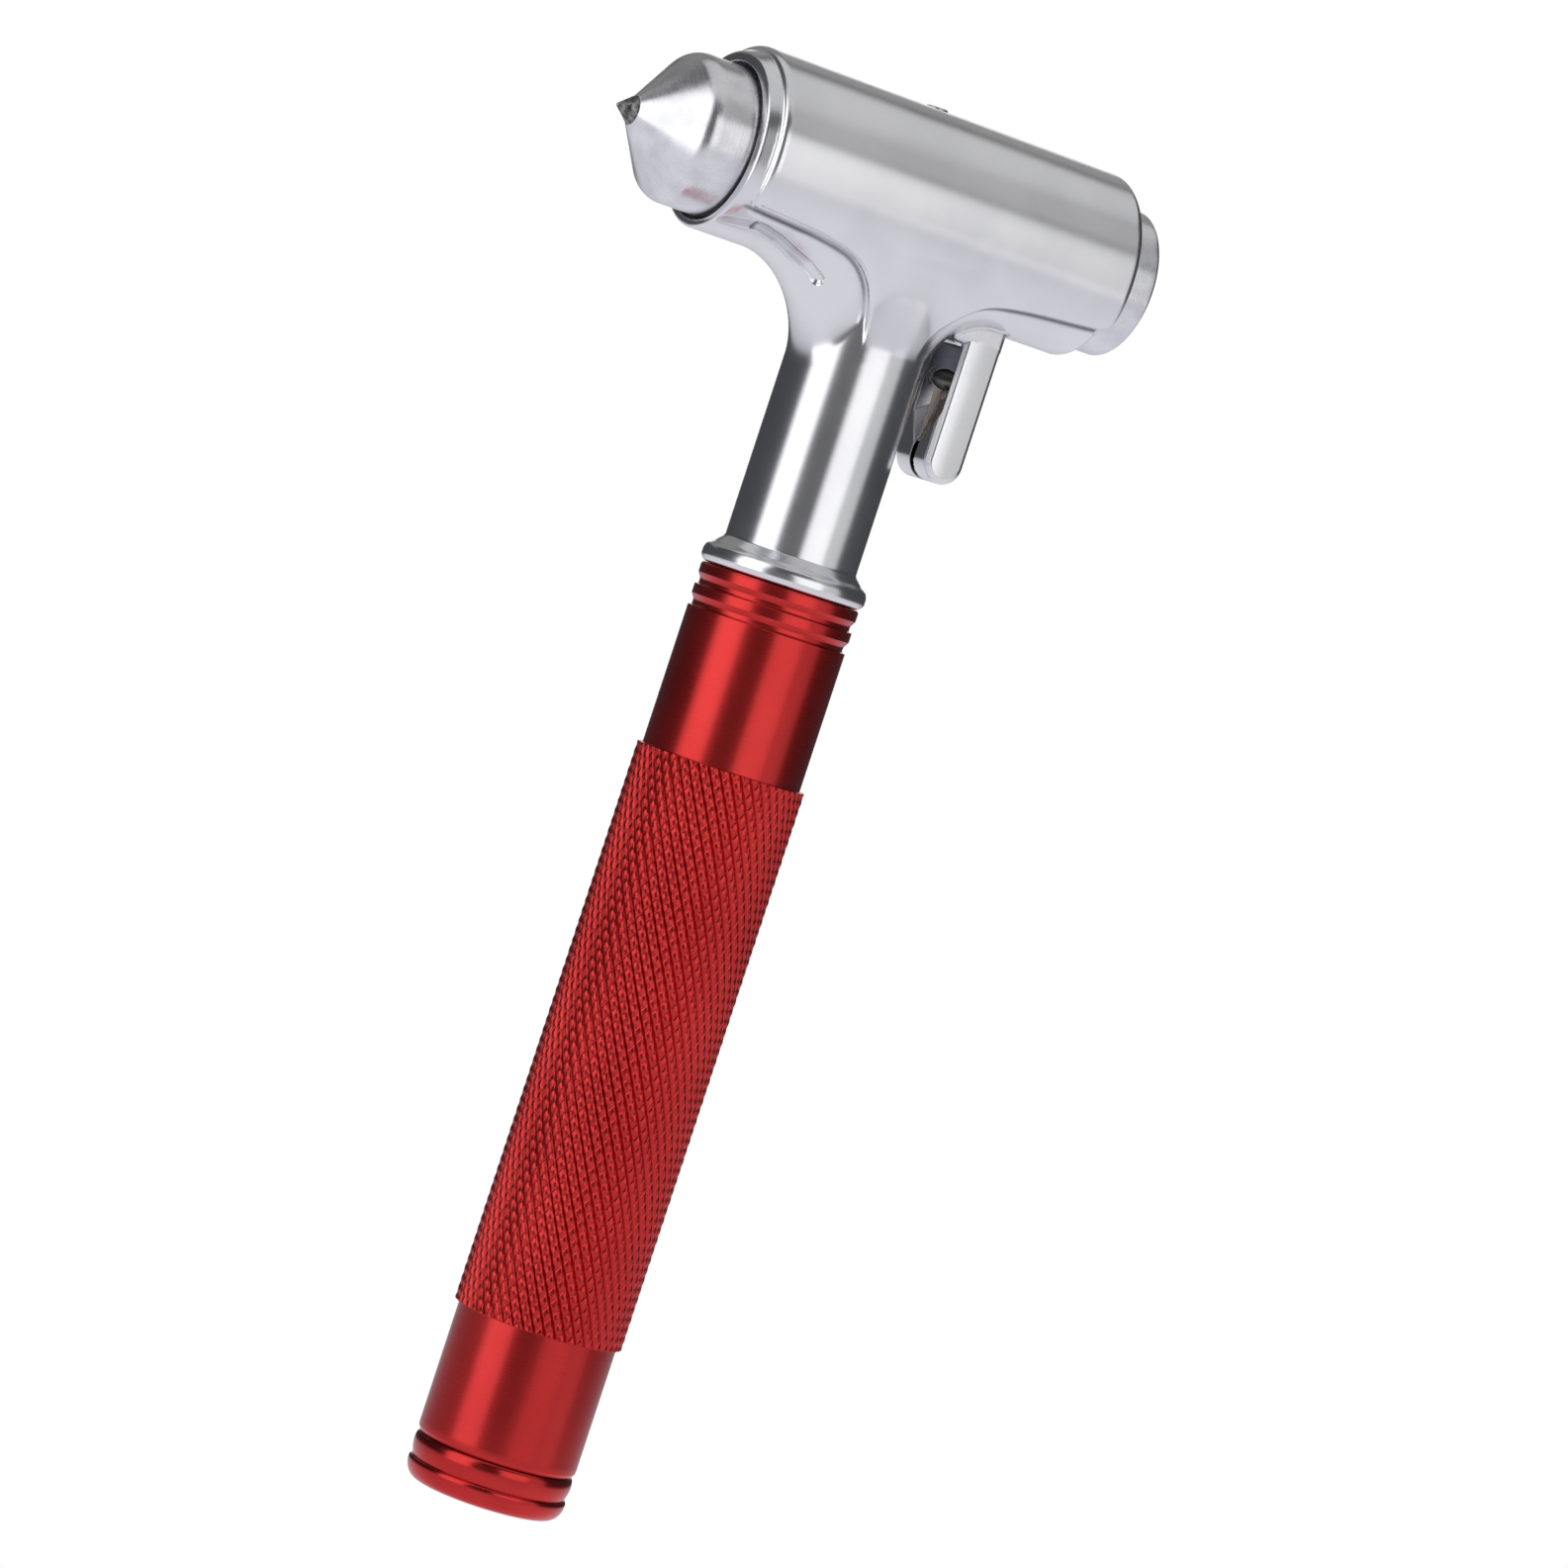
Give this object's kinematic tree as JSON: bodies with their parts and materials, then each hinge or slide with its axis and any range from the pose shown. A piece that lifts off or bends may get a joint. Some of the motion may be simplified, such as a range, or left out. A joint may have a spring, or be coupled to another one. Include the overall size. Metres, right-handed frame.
{
  "type": "emergency hammer",
  "caption": "Emergency hammer with a pointed and a flat striking end, a belt cutter beside the neck and a knurled handle with a screw-in tail cap.",
  "frame": {"origin": "centre of the tail cap's flat end face", "axes": "+Z along the handle from the tail cap to the head, +X along the barrel from the hard point to the flat striking face, +Y to the side of the loose half of the belt cutter guard"},
  "size_m": [0.0804, 0.0276, 0.1951],
  "materials": {
    "chrome_casting": "polished",
    "turned_steel": "turned",
    "hard_tip": "sintered",
    "black_rubber": "satin",
    "blade_steel": "ground",
    "dark_steel": "blackened",
    "zinc_steel": "plated",
    "red_aluminium": "anodised"
  },
  "bodies": {
    "hammer": {"head_housing": "chrome_casting", "striker_bar": "turned_steel", "carbide_tip": "hard_tip", "front_seal_ring": "black_rubber", "rear_seal_ring": "black_rubber", "striker_set_screw": "zinc_steel", "cutter_cover": "chrome_casting", "cutter_blade": "blade_steel", "cutter_screws": "dark_steel", "handle_tube": "red_aluminium", "handle_bolt": "dark_steel", "bolt_washer": "zinc_steel", "lock_washer": "dark_steel"},
    "tail_seal": {"tail_seal_ring": "black_rubber"},
    "tail_cap": {"tail_cap": "red_aluminium"}
  },
  "joints": [
    {"name": "cap_travel", "type": "slide", "parent": "hammer", "child": "tail_seal", "axis": [0, 0, -1], "range_m": [0, 0.0071]},
    {"name": "cap_turn", "type": "hinge", "parent": "tail_seal", "child": "tail_cap", "pos_m": [0, 0, 0], "axis": [0, 0, -1], "range_deg": [0, 2520]}
  ],
  "couplings": [
    {"joint": "cap_travel", "follows": "cap_turn", "m_per_rad": 0.00015915}
  ]
}
